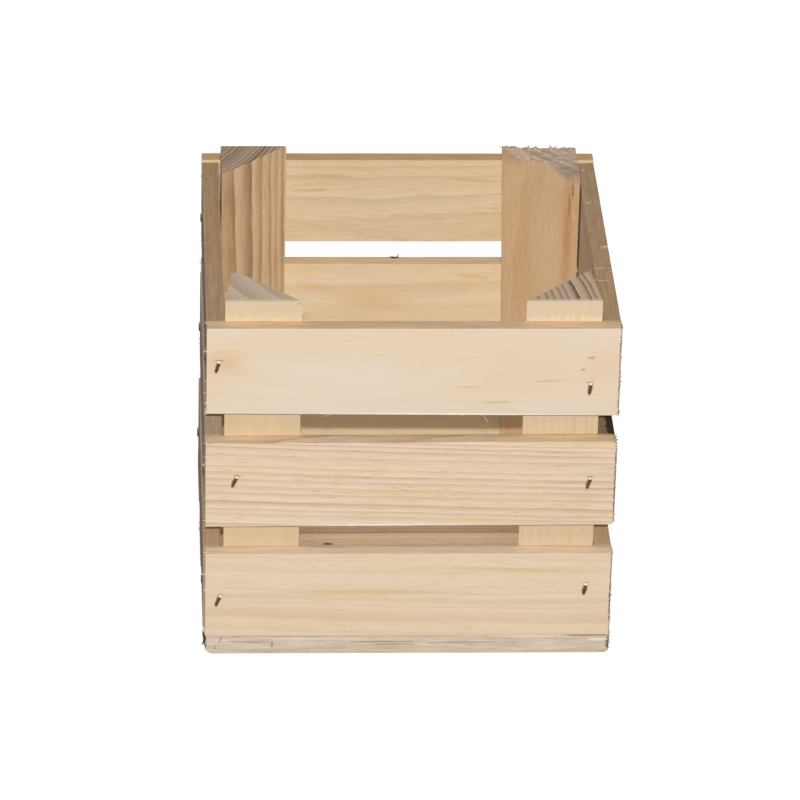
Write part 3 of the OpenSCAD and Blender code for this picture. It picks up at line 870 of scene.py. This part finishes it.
def bendStaple(staple):
    half, wire = staple["crown"] / 2, staple["wire"]
    crown = addBlock("staple", Vector((-half, 0, -wire / 2)), Vector((half, wire, wire / 2)))
    editMode(True)
    for cut in (-half + wire, half - wire):
        bpy.ops.mesh.select_all(action='SELECT')
        bpy.ops.mesh.bisect(plane_co=(cut, 0, 0), plane_no=(1, 0, 0))
    pick(crown, 'faces', lambda face: face.normal.y > 0.9 and abs(face.calc_center_median().x) > half - wire)
    bpy.ops.mesh.extrude_region_move(TRANSFORM_OT_translate={"value": (0, staple["legs"] - wire, 0)})
    pick(crown, 'verts', lambda vert: vert.co.y > staple["legs"] - wire / 2
         and abs(vert.co.x) < half - wire / 2)
    bpy.ops.transform.translate(value=(0, -wire, 0))
    pick(crown, 'edges', lambda edge: edgeAlong(edge, 2) and middleOf(edge).y < 0.1 * mm
         and abs(middleOf(edge).x) > half - 0.1 * mm)
    bpy.ops.mesh.bevel(offset=0.8 * wire, segments=5)
    editMode(False)
    applyModifier(crown, 'BEVEL', width=0.3 * mm, segments=3, limit_method='ANGLE',
                  angle_limit=math.radians(50))
    bpy.ops.object.shade_smooth_by_angle(angle=math.radians(40))
    shoulder = crown.data.attributes.new("shoulder", 'FLOAT', 'POINT')  # the upper bend carries a painted highlight
    for vert in crown.data.vertices:
        shoulder.data[vert.index].value = 1.0 if vert.co.x > half - 0.8 * wire and vert.co.y < wire else 0.0
    return crown


def setStaples(node, name, model, finish):
    made = []
    for centre, line, inward in staplePlaces[node]:
        staple = model.copy()
        staple.data = model.data.copy()
        bpy.context.collection.objects.link(staple)
        staple.matrix_world = Matrix.Translation(centre) @ stapleTurn(line, inward).to_4x4()
        bpy.context.view_layer.update()
        applyPlace(staple)
        made.append(staple)
    group = made[0]
    joinTo(group, made[1:])
    group.name = group.data.name = name
    group.data.materials.clear()
    group.data.materials.append(finish)
    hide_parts(node)
    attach(group, "root")


stapleModel = bendStaple(stapleShape)
wireFinish = wireMaterial()
for node, name in (("front_staples", "frontStaples"), ("back_staples", "backStaples"),
                   ("left_staples", "leftStaples"), ("right_staples", "rightStaples"),
                   ("floor_staples", "floorStaples")):
    setStaples(node, name, stapleModel, wireFinish)
bpy.data.objects.remove(stapleModel)
bpy.data.objects.remove(sliver)
print("staples set")


# Floor, lamps, camera

studio = {
    "floorSize": 8.0,
    "floorColour": (0.36, 0.355, 0.35, 1),   # what it throws back on the crate
    "floorSeen": (0.3, 0.3, 0.3, 1), "floorGlow": 0.86,      # what the camera sees of it
    "ambient": 0.17,
    "key": {"place": (-0.139, -2.485, 1.491), "size": 0.03, "power": 47.5},
    "fill": {"place": (-0.06, -1.03, 2.04), "size": 0.5, "power": 18.3},
}
deselectAll()
bpy.ops.mesh.primitive_plane_add(size=studio["floorSize"], location=(0, 0, -0.0002))
floor = bpy.context.object
floor.name = "studioFloor"
floorMaterial = bpy.data.materials.new("studioFloor")
floorMaterial.use_nodes = True
tree = floorMaterial.node_tree
tree.nodes.clear()
seen = addNode(tree, 'ShaderNodeLightPath').outputs['Is Camera Ray']
plain = addNode(tree, 'ShaderNodeBsdfDiffuse', {'Color': studio["floorColour"]})
white = addNode(tree, 'ShaderNodeBsdfDiffuse', {'Color': studio["floorSeen"]})
glow = addNode(tree, 'ShaderNodeEmission', {'Color': (1, 1, 1, 1), 'Strength': studio["floorGlow"]})
lit = addNode(tree, 'ShaderNodeAddShader', {0: white.outputs[0], 1: glow.outputs[0]})
both = addNode(tree, 'ShaderNodeMixShader', {0: seen, 1: plain.outputs[0], 2: lit.outputs[0]})
addNode(tree, 'ShaderNodeOutputMaterial', {'Surface': both.outputs[0]})
floor.data.materials.append(floorMaterial)

world = bpy.data.worlds.new("studio")
bpy.context.scene.world = world
world.use_nodes = True
tree = world.node_tree
tree.nodes.clear()
seen = addNode(tree, 'ShaderNodeLightPath').outputs['Is Camera Ray']
strength = remap(tree, seen, 0.0, 1.0, studio["ambient"], 1.0)
sky = addNode(tree, 'ShaderNodeBackground', {'Color': (1, 1, 1, 1), 'Strength': strength})
addNode(tree, 'ShaderNodeOutputWorld', {'Surface': sky.outputs[0]})

crateMiddle = (cadBox[0] + cadBox[1]) / 2
for name in ("key", "fill"):
    lamp = studio[name]
    place = Vector(lamp["place"])
    bpy.ops.object.light_add(type='AREA', location=place)
    light = bpy.context.object
    light.name = name + "Lamp"
    light.data.shape = 'DISK'
    light.data.size = lamp["size"]
    light.data.energy = lamp["power"]
    light.rotation_euler = (crateMiddle - place).to_track_quat('-Z', 'Y').to_euler()

view = {
    "place": (-0.1386, -2.4848, 1.3838), "yaw": 0.05535, "pitch": 0.47944, "roll": 0.02452,  # radians
    "focalPixels": 5571.24, "imageWidth": 800, "sensor": 36,
}
ahead = Vector((math.sin(view["yaw"]) * math.cos(view["pitch"]),
                math.cos(view["yaw"]) * math.cos(view["pitch"]), -math.sin(view["pitch"])))
right = Vector((math.cos(view["yaw"]), -math.sin(view["yaw"]), 0))
above = right.cross(ahead)
rolledRight = right * math.cos(view["roll"]) + above * math.sin(view["roll"])
rolledUp = above * math.cos(view["roll"]) - right * math.sin(view["roll"])
bpy.ops.object.camera_add()
camera = bpy.context.object
camera.matrix_world = Matrix.Translation(Vector(view["place"])) @ Matrix(
    (rolledRight, rolledUp, -ahead)).transposed().to_4x4()
camera.data.sensor_width = view["sensor"]
camera.data.lens = view["focalPixels"] / view["imageWidth"] * view["sensor"]
camera.data.clip_end = 50
bpy.context.scene.camera = camera
bpy.context.scene.view_settings.view_transform = 'Standard'
print("studio ready")
